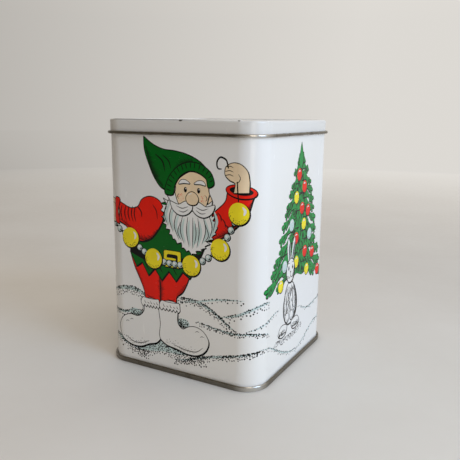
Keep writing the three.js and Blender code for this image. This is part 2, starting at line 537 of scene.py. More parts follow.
class Picture:
    """Flat shapes in millimetres, each covering those before it: (ink, outline)."""

    def __init__(self, seed):
        self.shapes = []
        self.random = random.Random(seed)

    def fill(self, ink, outline):
        self.shapes.append((ink, np.asarray(outline, float)))

    def line(self, points, width, start=0.15, end=0.15, ink="black"):
        """A pen line that swells in the middle. start and end are its widths there, as shares of the full."""
        path = smooth(points)
        t = np.linspace(0, 1, len(path))
        ends = start * (1 - t) + end * t
        swell = ends + (1 - ends) * np.sin(pi * t) ** 0.6
        half = (PEN * width / 2 * swell)[:, None] * sides(path)
        self.fill(ink, np.concatenate([path + half, (path - half)[::-1]]))

    def contour(self, outline, width, heavy=0.8):
        """A pen line round a shape."""
        left = sides(outline, closed=True)
        turn = np.sign(area(outline))
        shade = np.clip(-turn * (left @ SHADOW), 0, 1)[:, None]
        pen = left * turn * PEN * width
        outer = outline - pen * (0.5 + heavy * shade)
        inner = outline + pen * 0.35
        for i in range(len(outline)):
            j = (i + 1) % len(outline)
            self.fill("black", [outer[i], outer[j], inner[j], inner[i]])

    def figure(self, ink, points, width=0.6, heavy=0.8):
        """A filled shape with a pen line round it."""
        outline = smooth(points, closed=True)
        self.fill(ink, outline)
        self.contour(outline, width, heavy)
        return outline

    def feather(self, points, reach, gap, width, lean, within=None):
        """Short tapering pen strokes that leave a line on its left side, as shading, kept within a shape."""
        length, at = tracked(points)
        c, s = unit(lean)
        half = PEN * width / 2
        for away in np.arange(gap / 2, length, gap):
            x, z, u, v = at(away)
            far = reach * sin(pi * away / length) ** 0.5 * self.random.uniform(0.55, 1)
            tip = (x + far * (u * c - v * s), z + far * (u * s + v * c))
            if within is None or inside(np.array([tip]), within)[0]:
                self.fill("black", [(x - v * half, z + u * half), tip, (x + v * half, z - u * half)])

    def dot(self, x, z, size, ink="black"):
        self.fill(ink, oval(x, z, size, steps=6))

    def stipple(self, points, depth, gap, size=0.55, side=-1, fade=1.5):
        """Dots beside a line, thinning out to nothing at the given depth from it."""
        length, at = tracked(points)
        taken = {}
        for _ in range(int(length * depth / gap**2) * 3):
            along = self.random.uniform(0, length)
            away = self.random.random() ** fade
            if self.random.random() > sin(pi * along / length) ** 0.4:
                continue
            x, z, u, v = at(along)
            x, z = x + side * u * away * depth, z + side * v * away * depth
            i, j = round(x / gap), round(z / gap)
            near = gap * (0.55 + 0.8 * away)
            close = (taken.get((i + a, j + b)) for a in (-1, 0, 1) for b in (-1, 0, 1))
            if any(q and dist(q, (x, z)) < near for q in close):
                continue
            taken[i, j] = (x, z)
            self.dot(x, z, size * self.random.uniform(0.7, 1.25))


def area(outline):
    x, z = outline[:, 0], outline[:, 1]
    return float(np.sum(x * np.roll(z, -1) - np.roll(x, -1) * z)) / 2


def inside(points, outline):
    """For each point, whether it lies within the outline (nonzero winding)."""
    a, b = outline, np.roll(outline, -1, 0)
    x, z = points[:, 0, None], points[:, 1, None]
    cross = (b[:, 0] - a[:, 0]) * (z - a[:, 1]) - (x - a[:, 0]) * (b[:, 1] - a[:, 1])
    up = (a[:, 1] <= z) & (b[:, 1] > z) & (cross > 0)
    down = (a[:, 1] > z) & (b[:, 1] <= z) & (cross < 0)
    return (up.sum(1) - down.sum(1)) != 0


BAUBLES = [(-99, 96.5), (-79, 83.5), (-47.5, 82.5), (-25, 96.5), (-11.5, 121.5)]
GARLAND_END = (-119, 110)
BAUBLE = 7.2  # radius
SAG = 4.8  # four times how far the garland's string hangs down between two baubles


def between(a, b, count):
    """Points on a hanging string between two places, not counting its ends."""
    for i in range(1, count + 1):
        t = i / (count + 1)
        yield a[0] + (b[0] - a[0]) * t, a[1] + (b[1] - a[1]) * t - SAG * t * (1 - t)


def tufted(random, points, tuft, gap, lean):
    """A shaggy edge: uneven pointed tufts that stand off a smooth line on its left side."""
    length, at = tracked(points)
    count = max(2, round(length / gap))

    def place(share, off):
        x, z, u, v = at(length * share / count)
        return x + (u + lean[0]) * off, z + (v + lean[1]) * off

    edge = []
    for i in range(count):
        long = tuft * random.uniform(0.4, 1.5)
        tip = place(i + random.uniform(0.6, 0.95), long)
        edge += [(*place(i, 0), 1), place(i + 0.35, long * 0.6), (*tip, 1)]
    return edge + [(*place(count, 0), 1)]


def snow(p):
    """Drifts: dotted crests over a pale tint that wraps the upright corners."""
    crests = [  # a crest's line, how deep its dots go, and how far apart they are
        ([(-119, 55), (-108, 59), (-97, 60), (-90, 58), (-84, 54)], 6.6, 1.19),
        ([(-60, 58), (-50, 59), (-41, 58), (-33, 55), (-26, 51), (-19, 46), (-11, 41)], 4.4, 1.12),
        ([(-58, 55), (-44, 58), (-30, 61.5), (-18, 63.5), (-6, 64)], 3.3, 1.82),
        ([(-24, 50), (-12, 54), (-2, 58.5), (8, 61), (16, 60)], 4.95, 1.61),
        ([(-44, 43.5), (-34, 42), (-24, 41), (-14, 40.5), (-4, 41), (6, 40), (16, 37)], 2.86, 1.12),
        ([(-119, 41), (-108, 40.5), (-98, 42), (-91, 43)], 4.4, 1.26),
        ([(-6, 42), (8, 46), (22, 49), (32, 50)], 2.64, 1.82),
        ([(66, 43), (76, 38.5), (88, 36), (100, 37.5), (119, 42)], 2.42, 1.68),
        ([(-64, 11), (-52, 13.5), (-42, 17), (-31, 20.5), (-18, 23.5), (-6, 26.5), (8, 28.5)], 3.96, 1.05),
        ([(4, 28.5), (14, 27.5), (26, 22), (38, 16), (52, 11), (66, 9)], 2.86, 1.54),
        ([(66, 9), (80, 13), (94, 19), (108, 22), (119, 22)], 2.86, 1.82),
        ([(-119, 22), (-112, 21), (-104, 15)], 5.5, 1.33),
    ]
    for points, depth, gap in crests:
        path = smooth(points)
        drop = np.sin(np.linspace(0, pi, len(path))) ** 0.7 * depth * 0.45
        p.fill("tint", np.concatenate([path, (path - np.stack([drop * 0.2, drop], 1))[::-1]]))
        p.stipple(points, depth, gap)
    ground = smooth([(-104, 15), (-96, 13), (-84, 13), (-72, 15), (-60, 15.5), (-46, 18), (-52, 20),
        (-64, 21), (-73.5, 25), (-84, 20), (-96, 16)], closed=True)
    p.fill("tint", ground)
    p.stipple([(-36, 21), (-48, 19.5), (-60, 21), (-68, 22.5), (-73, 26), (-78, 22), (-88, 18), (-98, 15)],
        10, 1.1, side=1, fade=1.1)
    p.stipple([(-104, 16), (-96, 13), (-84, 12)], 6, 1.3)
    for x, z, wide in ((-95, 40.5, 6.5), (-54, 40, 5)):
        p.fill("tint", oval(x, z, wide, 3.2, -8))
        p.stipple([(x - wide, z - 2.5), (x, z - 3.5), (x + wide, z - 2.5)], 6, 0.95, side=1, fade=1.2)


def boots(p):
    p.figure("white", [(-87.5, 52), (-88.5, 43), (-93, 38.5), (-101, 38.5), (-108, 35), (-111.5, 28),
        (-109, 19.5), (-101, 15), (-92, 15), (-84, 18.5), (-77, 21), (-74.3, 24), (-74, 36), (-74, 52)],
        0.5, 1.6)
    p.figure("white", [(-74, 52), (-74, 36), (-73.7, 24), (-70, 21.5), (-60, 19.5), (-50, 17.5),
        (-42, 18.5), (-35.5, 23.5), (-33.5, 30), (-37, 36), (-44, 39), (-50, 38), (-55, 35.5),
        (-58.5, 38.5), (-59, 45), (-58, 52)], 0.5, 1.6)
    p.feather([(-101, 38.5), (-94, 38), (-89.5, 41), (-88.5, 47)], 4, 0.8, 0.5, -20)
    p.feather([(-59, 46), (-58.5, 39), (-55.5, 36), (-50, 37.5)], 4, 0.8, 0.5, -20)
    p.line([(-106, 21), (-99, 17.5), (-91, 17.8), (-84, 21)], 0.5)
    p.line([(-63, 22.4), (-52, 20.3), (-43, 21), (-38, 25)], 0.5)
    for x, z in ((-104, 32), (-100, 34), (-43, 35), (-39, 32)):
        p.line([(x - 1.5, z), (x, z + 1), (x + 2, z + 0.6)], 0.35)
    p.stipple([(-108, 20), (-102, 16.5), (-92, 16.5), (-84, 20)], 4.5, 1.6, 0.3, side=1)
    p.stipple([(-71, 23), (-60, 21), (-50, 19), (-42, 20)], 4.5, 1.6, 0.3, side=1)
    for left, right in ((-90, -74.2), (-73.8, -56.5)):
        wide = right - left
        cuff = [(left + wide * (k + 0.5) / 6, 53.6 - 0.5 * sin(pi * k / 5)) for k in range(6)]
        for k in range(6):
            cuff += [(right - wide * (k + 0.1) / 6, 48.4, 1), (right - wide * (k + 0.55) / 6, 46.6)]
        p.figure("white", cuff + [(left - 0.8, 49.5)], 0.45, 0.6)
        for k in range(5):
            x = left + wide * (k + 0.9) / 6
            p.line([(x, 51.5 - k % 2), (x + 0.6, 49.8), (x + 1.6, 49.2)], 0.4)


def trousers(p):
    p.figure("red", [(-99, 86), (-96, 76), (-91, 66), (-87.5, 58), (-86.5, 52, 1), (-60, 52, 1),
        (-59.5, 58), (-55, 62), (-51.5, 68), (-48, 77), (-46, 86)], 0.6, 0.9)
    p.line([(-73.6, 51), (-73.2, 60), (-74, 72)], 0.8, 1, 0)
    p.feather([(-74, 72), (-73.2, 60), (-73.6, 52)], 4.5, 0.8, 0.55, 15)
    p.feather([(-73.6, 52), (-73.2, 60), (-74, 72)], 3.2, 0.8, 0.55, -15)
    p.feather([(-97, 78), (-91.5, 67), (-87.5, 57)], 3.5, 0.9, 0.5, -25)
    p.feather([(-59.8, 57), (-55.5, 62), (-51.5, 69)], 4, 0.85, 0.5, 25)
    p.line([(-86, 56), (-82, 54.5), (-79, 55)], 0.5)
    p.line([(-61, 56), (-64, 54.8), (-68, 55.4)], 0.5)


def tunic(p):
    hem = [(-99.5, 86, 1), (-94, 76, 1), (-89, 79.5, 1), (-83.5, 70.5, 1), (-78, 76.5, 1), (-72, 68.5, 1),
        (-66, 76, 1), (-60, 69.5, 1), (-54.5, 77, 1), (-48.5, 73, 1), (-43, 84, 1)]
    coat = p.figure("green", [(-78, 120), (-90, 104), (-98, 93)] + hem + [(-38, 94), (-34, 106),
        (-36, 120)], 0.7, 0.9)
    p.feather([(-84, 112), (-92, 101), (-98, 92)], 6, 0.85, 0.6, -20, coat)
    p.feather([(-42.5, 85), (-38.5, 93), (-34.5, 104)], 5, 0.85, 0.6, 20, coat)
    for a, b in ((-89, -83.5), (-78, -72), (-66, -60), (-54.5, -48.5)):
        p.line([(a, 84), ((a + b) / 2, 79.5), (b + 1, 73.5)], 0.7, 1, 0)
    belt = smooth([(-99, 92), (-86, 87.5), (-71, 85.5), (-56, 86.5), (-40, 91.5)])
    p.fill("black", np.concatenate([belt, (belt - (0.5, 6.2))[::-1]]))
    buckle = rounded(-63, 85, 7.2, 6)
    p.fill("yellow", buckle)
    p.contour(buckle, 0.5)
    p.fill("black", rounded(-63, 85, 4.6, 3.4))
    p.line([(-67.5, 85), (-60, 85)], 1.3, 1, 0.6, "yellow")


def rounded(x, z, wide, high, r=1.5):
    """A rounded rectangle's outline, from its half width and half height."""
    points = []
    for k, (sx, sz) in enumerate(((1, -1), (1, 1), (-1, 1), (-1, -1))):
        for a in np.linspace(-90, 0, 5) + 90 * k:
            c, s = unit(a)
            points.append((x + sx * (wide - r) + r * c, z + sz * (high - r) + r * s))
    return np.array(points)


def left_arm(p):
    """The arm held out to the left, whose hand goes round the upright corner."""
    p.figure("red", [(-72, 124), (-80, 127.5), (-88, 125), (-92, 119.5), (-98, 118), (-105, 120.5),
        (-110, 122.5), (-109, 108), (-103, 105), (-97, 99), (-90, 95), (-82, 97), (-75, 104), (-70, 114)],
        0.7, 0.9)
    for x in (-106, -102.5, -99.5, -96.5, -94):
        p.line([(x, 119.5), (x - 1.2, 114), (x + 0.3, 108)], 0.8, 0.2, 0)
    p.feather([(-108, 109), (-101, 104.5), (-95, 98.5), (-88, 95.5), (-81, 97.5), (-74.5, 105)],
        5.5, 0.8, 0.6, 20)
    p.line([(-92, 119.5), (-89, 116), (-88.5, 112)], 0.8, 0.8, 0)
    p.line([(-79, 122), (-76, 118), (-75, 112)], 0.6)


def left_hand(p):
    """The hand that closes round the garland's end."""
    p.figure("skin", [(-111, 122), (-117, 124), (-123, 122), (-126, 117), (-124.5, 110), (-119, 106.5),
        (-111, 108)])
    for z in (118.5, 114.5, 110.8):
        p.line([(-125.4, z), (-121, z + 0.4), (-117.5, z - 0.5)], 0.45, 0.8, 0)
    p.line([(-113, 119), (-116, 120.5), (-119, 119.5)], 0.45)
    p.figure("red", [(-108.5, 124.5), (-111.5, 125), (-113.5, 116), (-112.5, 106.5), (-109.5, 105.5),
        (-110, 115)], 0.6, 0.6)


def right_arm(p):
    """The raised arm, whose hand holds up a wire hook with the garland on it."""
    sleeve = p.figure("red", [(-40, 104), (-30, 101.5), (-22, 105.5), (-13, 112.5), (-5.5, 121),
        (-2.5, 130), (-1, 135), (-19, 136), (-21, 129), (-27, 123), (-33, 118), (-38, 112)], 0.7, 0.9)
    p.feather([(-31, 102), (-22, 106), (-13, 113), (-6, 121), (-3, 129)], 6, 0.75, 0.6, 20, sleeve)
    for x, z in ((-27, 121), (-24, 117.5), (-21.5, 114)):
        p.line([(x, z), (x + 2.5, z - 2.5), (x + 3, z - 6)], 0.7, 0.3, 0)
    cuff = oval(-10, 135.6, 10.8, 4.3, -6)
    p.fill("red", cuff)
    p.contour(cuff, 0.6)
    p.fill("black", oval(-10, 136, 8.2, 2.6, -6))
    p.figure("skin", [(-15, 134.5, 1), (-14.5, 141), (-18, 142.5), (-21.5, 146), (-21, 150.5),
        (-16.5, 153.5), (-10.5, 153), (-6, 149), (-4.5, 143), (-4.6, 135, 1)], 0.55)
    for z in (150.8, 148, 145.4):
        p.line([(-21.3, z), (-18, z + 0.7), (-15.2, z - 0.2)], 0.45, 0.8, 0)
    p.line([(-12, 147), (-10.5, 144), (-12, 141.5), (-14.5, 141)], 0.45)
    p.line([(-19, 150), (-21, 155.5), (-25, 156.8), (-27.5, 153.5), (-26.4, 149.5), (-24, 149.4)],
        1.0, 0.8, 0.5)
    p.line([(-12.6, 142), (-12.2, 136), (-11.5, 129)], 0.8, 0.8, 0.8)


def head(p):
    p.figure("skin", [(-60, 142), (-59.5, 134), (-62, 128), (-59, 121), (-46.5, 117), (-34, 121),
        (-31, 128), (-33.5, 134), (-33.5, 142), (-38, 148), (-47, 150), (-56, 148)], 0.55)
    beard = tufted(p.random, [(-33, 132), (-28.5, 124), (-26.5, 115), (-28, 106), (-33, 98.5), (-40, 93),
        (-46.5, 90), (-53, 93), (-60, 97.5), (-66.5, 104), (-71, 112), (-72, 121), (-68.5, 130),
        (-62, 138)], -3.6, 4.4, (0, 0.45))
    p.figure("white", beard + [(-60, 131), (-57, 124), (-46.5, 120), (-36, 124)], 0.5, 0.9)
    strands = [(-65, 128, -69, 116, -66, 108), (-62, 124, -65, 114, -62, 104),
        (-58, 120, -61, 109, -57, 99), (-54, 117, -56, 106, -53, 97), (-50, 116, -51, 106, -49, 95),
        (-46, 116, -46, 106, -46.5, 94), (-42, 116, -41, 106, -43, 95), (-38, 118, -36, 108, -39, 98),
        (-34, 120, -31, 110, -34, 101), (-31, 124, -28.8, 115, -30.5, 107), (-56, 112, -58, 104, -55, 99),
        (-44, 112, -43.5, 104, -45, 97), (-67, 122, -70, 114, -68, 110), (-36, 112, -34, 104, -37, 100)]
    for x0, z0, x1, z1, x2, z2 in strands:
        p.line([(x0 + 1.2, z0 - 2), (x1 + 1.4, z1), (x2 + 0.8, z2 + 1)], 1.7, 0.1, 0.1, "tint")
    for x0, z0, x1, z1, x2, z2 in strands:
        p.line([(x0, z0), (x1, z1), (x2, z2)], 0.55, 0.3, 0)
    middle = -46.5
    for side in (1, -1):
        def at(*points):
            return [(middle + side * x, z) for x, z in points]

        p.figure("white", at((0, 125.5), (5, 126.5), (11, 124), (17.5, 125.5), (15.5, 120), (9, 116.5),
            (2.5, 118.5), (0, 121.5)), 0.5)
        p.line(at((3, 123), (8, 121.5), (13, 123)), 0.45, 0.2, 0)
        p.line(at((3, 121), (7, 119), (11, 119.6)), 0.45, 0.2, 0)
        p.fill("black", oval(middle + side * 5.2, 134.2, 1.25, 1.9))
        p.fill("white", oval(middle + side * 5.2 + 0.4, 135, 0.4, 0.5))
        p.figure("white", at((1.6, 138.6), (5, 140.8), (9, 140.4), (10.6, 138), (6.6, 138.4)), 0.4)
        p.line(at((10.2, 131.5), (11.6, 129.4), (10.6, 127.4)), 0.45)
        for _ in range(26):
            a, r = p.random.uniform(0, 6.3), 2.6 * p.random.random() ** 0.5
            p.dot(middle + side * 9 + r * cos(a), 129 + r * sin(a), 0.2, "red")
    p.figure("skin", [(-51.5, 128.5), (-49.5, 132), (-46.5, 133.2), (-43.5, 132), (-41.5, 128.5),
        (-43, 125.2), (-46.5, 124.2), (-50, 125.2)], 0.5)
    p.line([(-49.2, 130.6), (-47.8, 131.7), (-46.3, 131.9)], 0.5, 0.1, 0.1, "white")


def cap(p):
    crown = p.figure("green", [(-65, 133), (-71, 134.5), (-77, 141), (-81.5, 150), (-85, 160),
        (-85.5, 168.5, 1), (-78, 163.5), (-70, 160.5), (-60, 159.5), (-50, 157.5), (-40, 153), (-32, 145),
        (-45, 148), (-56, 143)], 0.7, 0.9)
    p.feather([(-84.5, 163), (-81, 150), (-76.5, 141), (-70, 134.8)], 6.5, 0.8, 0.65, -25, crown)
    p.feather([(-62, 144), (-56, 149.5), (-48, 152.6), (-40, 151), (-35, 148)], 5.5, 0.8, 0.6, 20, crown)
    p.line([(-76, 157), (-70, 152), (-68, 145)], 0.9, 0.3, 0)
    p.line([(-70, 156.5), (-65, 152.5), (-63, 147)], 0.7, 0.3, 0)
    outer = [(-68, 130.5), (-66.5, 139), (-59, 148.3), (-48.5, 152.6), (-37.5, 150.6), (-31, 145),
        (-30, 138.5)]
    inner = [(-34, 136.8), (-35.5, 142), (-40, 145.3), (-48, 146.8), (-55, 143.6), (-60, 137), (-62, 130.2)]
    p.figure("green", outer + inner, 0.65, 0.6)
    a, b = smooth(outer), smooth(inner[::-1])
    for t in np.linspace(0.06, 0.95, 15):
        start, stop = a[int(t * (len(a) - 1))], b[int(t * (len(b) - 1))]
        p.line([start * 0.92 + stop * 0.08, start * 0.3 + stop * 0.7], 0.55, 1, 0)


def bauble(p, x, z):
    r = BAUBLE
    p.fill("black", oval(x + 0.5, z - 0.6, r + 0.55))
    p.fill("yellow", oval(x, z, r))
    shine = [(x + 0.38 * r, z + 0.62 * r), (x + 0.62 * r, z + 0.25 * r), (x + 0.5 * r, z - 0.15 * r)]
    p.line(shine, 1.5, 0.3, 0.2, "white")
    for _ in range(46):
        c, s = unit(p.random.uniform(170, 325))
        d = r * (1 - 0.34 * p.random.random() ** 1.7) - 0.3
        p.dot(x + d * c, z + d * s, p.random.uniform(0.16, 0.3))


def garland(p):
    """A string of small beads, with a bauble wherever it is held up."""
    ends = [GARLAND_END] + BAUBLES
    for a, b, beads in zip(ends, BAUBLES, (3, 4, 6, 4, 4)):
        p.line([a, *between(a, b, 5), b], 1.5, 1, 1)
        for x, z in between(a, b, beads):
            p.fill("black", oval(x + 0.2, z - 0.2, 2.7))
            p.fill("tint", oval(x, z, 2.1))
            p.line([(x - 0.2, z - 1.5), (x + 1.1, z - 1), (x + 1.5, z + 0.3)], 0.7, 0.3, 0.2)
            p.fill("white", oval(x - 0.5, z + 0.6, 0.9))
    for x, z in BAUBLES:
        bauble(p, x, z)


# Where the ends of the fir's branches are, the lowest first.
BOUGHS = [(7, 66), (117, 59), (15, 75), (108, 69), (24, 64), (98, 62), (19, 82), (105, 79), (36, 71),
    (88, 72), (28, 89), (97, 88), (45, 82), (80, 83), (28, 97), (97, 96), (41, 94), (87, 96), (32, 106),
    (95, 105), (50, 101), (76, 103), (36, 114), (91, 113), (39, 119), (90, 120), (52, 114), (77, 115),
    (43, 127), (87, 127), (47, 133), (83, 134), (56, 126), (70, 127), (51, 142), (77, 143), (58, 138),
    (68, 138), (57.5, 149.5), (69.5, 150)]


def bough(p, root, tip):
    """A branch that ends in blunt fingers, like a mitten of needles."""
    along = np.array(tip, float) - root
    length = hypot(*along)
    along /= length
    outwards = copysign(1, along[0])
    up = np.array([-along[1], along[0]]) * outwards
    size = min(1, 0.5 + length / 60)
    fingers = [(-5, 3.4, 72), (-0.5, 1.8, 22), (-1.5, -2.4, -18), (-6.5, -3.6, -50)]
    outline = [root + up * 3.5, root + along * length * 0.55 + up * 1.3]
    for back, off, turn in fingers:
        c, s = unit(turn + p.random.uniform(-14, 14))
        way = along * c + up * s
        over = np.array([-way[1], way[0]]) * outwards
        end = np.array(tip) + (along * back + up * off) * size + way * p.random.uniform(-0.5, 1)
        base = end - way * 4.8 * size
        outline += [(*(base + over * 1.3), 1)] if turn < 60 else []
        outline += [end + over - way * 0.7, end, end - over - way * 0.7]
    outline += [root + along * length * 0.5 - up * 1.6, root - up * 4.5]
    p.figure("fir", outline, 0.25, 2.6)
    for _ in range(round(length / 2.2)):
        t = p.random.uniform(0.25, 0.85)
        start = root + along * length * t + up * p.random.uniform(-2.5, 1.5)
        stop = start + along * 1.2 - up * p.random.uniform(1.2, 2.8)
        bent = (start + stop) / 2 + along * 0.5
        p.line([start, bent, stop], 0.6, 0.2, 0.1)


def tree(p):
    """A fir in pen and flat green, darkest low in its middle."""
    middle = 63
    core = p.figure("fir", [(63, 158), (60, 146), (56, 134), (52, 118), (48.5, 104), (45, 90), (42, 78),
        (42, 69), (50, 67), (60, 69), (72, 66), (80, 69), (84, 72), (83, 88), (80, 104), (76, 120),
        (71, 134), (66, 147)], 0.2, 0.5)
    for x, z in BOUGHS:
        bough(p, np.array([middle + (x - middle) * 0.25, z + abs(x - middle) * 0.2 + 4]), (x, z))
    p.figure("fir", [(middle, 165, 1), (middle + 2, 160), (middle + 2.8, 156), (middle + 3.6, 151),
        (middle, 146), (middle - 3.6, 151), (middle - 2.8, 156), (middle - 2, 160)], 0.4, 1.6)
    for _ in range(420):
        x, z = p.random.gauss(66, 12), 66 + 80 * p.random.random() ** 1.7
        if inside(np.array([(x, z - 3)]), core)[0]:
            lean = (x - middle) * 0.09
            p.line([(x, z), (x + lean, z - p.random.uniform(1.5, 4.5))], 0.85, 0.5, 0.1)
    spots = {
        "red": [(60.5, 142), (71, 132.5), (67.5, 117), (79.5, 114), (58, 96), (75.5, 83), (91, 79.5),
                (104, 62.5)],
        "yellow": [(56.5, 126), (72, 104.5), (59.5, 78), (80.5, 68), (32.5, 66)],
        "tint": [(49, 107), (84, 95), (38.5, 79)],
    }
    for ink, places in spots.items():
        for x, z in places:
            p.fill("black", oval(x + 0.4, z - 0.5, 4.5, 4.7))
            p.fill(ink, oval(x, z, 4.2, 4.4))
            p.line([(x - 1.8, z + 1.8), (x - 0.2, z + 2.7), (x + 1.8, z + 2.2)], 0.9, 0.2, 0.1, "white")
            for _ in range(10):
                c, s = unit(p.random.uniform(230, 350))
                d = p.random.uniform(2.8, 3.8)
                p.dot(x + d * c, z + d * s, 0.2)


def rabbit(p):
    """A plain white rabbit, sitting up in front of the tree."""
    middle = 49.5
    ears = [
        [(46.6, 80), (43.4, 86), (42.6, 94), (44.2, 98.5), (47, 94), (48.4, 86), (48.6, 81)],
        [(49.6, 81), (50.6, 87), (52.6, 94.5), (55.4, 98), (56.4, 93), (55.2, 86), (52.4, 79.5)],
    ]
    paws = [
        [(42, 38), (43.6, 42.4), (47.2, 42.2), (48.4, 37.8), (45.4, 35.4)],
        [(50, 37.8), (51.2, 42.2), (54.8, 42.4), (56.6, 38), (53.2, 35.4)],
    ]
    feet = [
        [(30, 30), (33, 34.6), (39.5, 35.6), (45.5, 33), (44, 28.8), (35, 27)],
        [(53, 33), (59, 35.6), (65.5, 34.6), (68.5, 30), (63.5, 27), (54.5, 28.8)],
    ]
    for ear in ears:
        shape = p.figure("white", ear, 0.5)
        x, z = shape.mean(0)
        lean = 0.25 if x > 49 else -0.1
        p.line([(x - lean * 7, z - 6), (x, z), (x + lean * 7, z + 6)], 1.7, 0.2, 0.1, "tint")
        p.line([(x - lean * 7 + 0.6, z - 7), (x + 0.8, z - 1), (x + lean * 7 + 0.5, z + 5.5)], 1.5, 0.4, 0)
    body = p.figure("white", [(39, 42), (38, 48), (40, 56), (43.5, 63), (48.5, 66), (54.5, 63.5),
        (60, 56.5), (62.5, 48), (61, 39.5), (55, 34.5), (45, 34.5)], 0.8)
    p.feather([(55.5, 63), (60.5, 56), (62.6, 48), (61, 39.5), (56, 34.6)][::-1], 7.5, 0.75, 0.7, 25, body)
    p.feather([(41.5, 60), (38.6, 53), (38, 47), (39, 42), (42, 37)], 5, 0.8, 0.65, -20, body)
    p.line([(44.8, 60), (43.4, 50), (44.4, 41)], 0.9, 0.2, 0.6)
    p.line([(53.6, 60), (55.2, 50), (54, 41)], 0.9, 0.2, 0.6)
    for _ in range(46):
        x, z = 49.3 + p.random.gauss(0, 4), p.random.uniform(43, 63)
        lean = (x - 49.3) * 0.25 + p.random.uniform(-0.6, 0.6)
        p.line([(x, z), (x + lean * 0.3, z - 1.6), (x + lean, z - p.random.uniform(2.6, 4))], 0.65, 0.5, 0)
    for paw in paws:
        p.figure("white", paw, 0.5)
        for k in (0.35, 0.65):
            x = paw[0][0] + (paw[3][0] - paw[0][0]) * k
            p.line([(x, 35.8), (x + 0.1, 38)], 0.4, 0.8, 0)
    for side, foot in zip((-1, 1), feet):
        shape = p.figure("white", foot, 0.55)
        x = shape[:, 0].mean()
        for k in (0, 2.2, 4.4):
            p.line([(x + side * k, 28.4), (x + side * (k + 0.6), 31.4)], 0.45, 0.8, 0)
        p.stipple([(shape[:, 0].min() + 1, 28.6), (shape[:, 0].max() - 1, 28.6)], 3, 0.9, side=1)
    face = p.figure("white", [(42.6, 71), (42.8, 77), (45.6, 81.4), (49.5, 82.8), (53.4, 81.4), (56.2, 77),
        (56.4, 71), (53.8, 66.6), (49.5, 65), (45.2, 66.6)], 0.75)
    p.feather([(54, 67), (56.3, 71.5), (56, 77)], 4, 0.7, 0.6, 20, face)
    p.line([(49.5, 71.8), (49.5, 70), (47.4, 68.6), (45.4, 69.4)], 0.45, 0.6, 0.1)
    p.line([(49.5, 70), (51.6, 68.6), (53.6, 69.4)], 0.45, 0.6, 0.1)
    for side in (-1, 1):
        p.fill("black", oval(middle + side * 3.3, 76, 1.05, 1.6))
        p.fill("white", oval(49.8 + side * 3.3, 76.7, 0.35, 0.45))
        p.line([(middle + side * 1.8, 79.3), (middle + side * 3.6, 79.9), (middle + side * 5, 79)], 0.4)
        near, far = middle + side * 3.4, middle + side * 9.5
        for k in (-1, 0, 1):
            p.line([(near, 69.6 + k * 0.5), (far, 70.2 + k * 1.9)], 0.3, 0.6, 0)
    p.fill("black", smooth([(48.4, 73.4, 1), (50.6, 73.4, 1), (49.5, 71.6, 1)], closed=True))
    p.stipple([(24, 28), (36, 25.5), (50, 25), (64, 25.5), (74, 28)], 4, 1.2, fade=1.2)


def winter_picture():
    p = Picture(7)
    snow(p)
    tree(p)
    rabbit(p)
    trousers(p)
    boots(p)
    tunic(p)
    left_arm(p)
    right_arm(p)
    head(p)
    cap(p)
    garland(p)
    left_hand(p)
    return p


# ---- printing
PICTURE = 2 * QUARTER  # the picture goes half way round, and is printed twice
INK_LIFT = 0.03
TOLERANCE = 1e-4  # corners closer than this are one
INKS = {
    "green": (0.002, 0.125, 0.012),
    "fir": (0.012, 0.27, 0.055),
    "red": (0.82, 0.016, 0.006),
    "yellow": (0.90, 0.75, 0.025),
    "skin": (0.88, 0.69, 0.46),
    "black": (0.006, 0.006, 0.006),
    "tint": (0.56, 0.68, 0.66),
}


def ink_material(name, color):
    """Ink under the same lacquer as the ground, with thin patches and pinholes."""
    nodes = Finish("ink_" + name)
    thin = tuple(c * 0.82 + 0.003 for c in color)
    tone = nodes.mix(nodes.spread(nodes.noise(45, 5, roughness=0.65), 0.35, 0.7), color, thin)
    pinholes = nodes.spread(nodes.noise(1700, 2), 0.74, 0.8, 0, 0.6)
    nodes.set(Base_Color=nodes.mix(pinholes, tone, (0.7, 0.69, 0.67)))
    lacquer(nodes, gloss=0.2)
    return nodes.material


def cuts():
    """Upright lines that the picture is cut along: the corners' facets, and the side seam's strip."""
    arc = CORNER * pi / 4
    again = SEAM_AT - PICTURE
    lines = [-PICTURE / 2, PICTURE / 2, again - SEAM_STRIP, again + SEAM_STRIP]
    for middle in (-QUARTER, 0, QUARTER):
        lines += [middle - arc + 2 * arc * i / CORNER_STEPS for i in range(CORNER_STEPS + 1)]
    return [np.array([(s, 1), (s, HEIGHT - 1)]) for s in sorted(lines) if abs(s) <= PICTURE / 2]


def wrapped(shapes):
    """The shapes, each that runs over an end of the picture also copied to the other end."""
    for ink, outline in shapes:
        yield ink, outline
        if outline[:, 0].min() < -PICTURE / 2:
            yield ink, outline + (PICTURE, 0)
        if outline[:, 0].max() > PICTURE / 2:
            yield ink, outline - (PICTURE, 0)


def triangles(outlines):
    """Triangles that no outline crosses, from left to right: points, each one's corners, and middles."""
    points, edges = [], []
    for outline in outlines:
        first, count = len(points), len(outline)
        points += [Vector(p) for p in outline]
        edges += [(first + i, first + (i + 1) % count) for i in range(count if count > 2 else 1)]
    points, _, faces, *_ = geometry.delaunay_2d_cdt(points, edges, [], 0, TOLERANCE)
    points = np.array([tuple(p) for p in points])
    faces = np.array([f for f in faces if len(f) == 3])
    middles = points[faces].mean(1)
    order = np.argsort(middles[:, 0])
    return points, faces[order], middles[order]


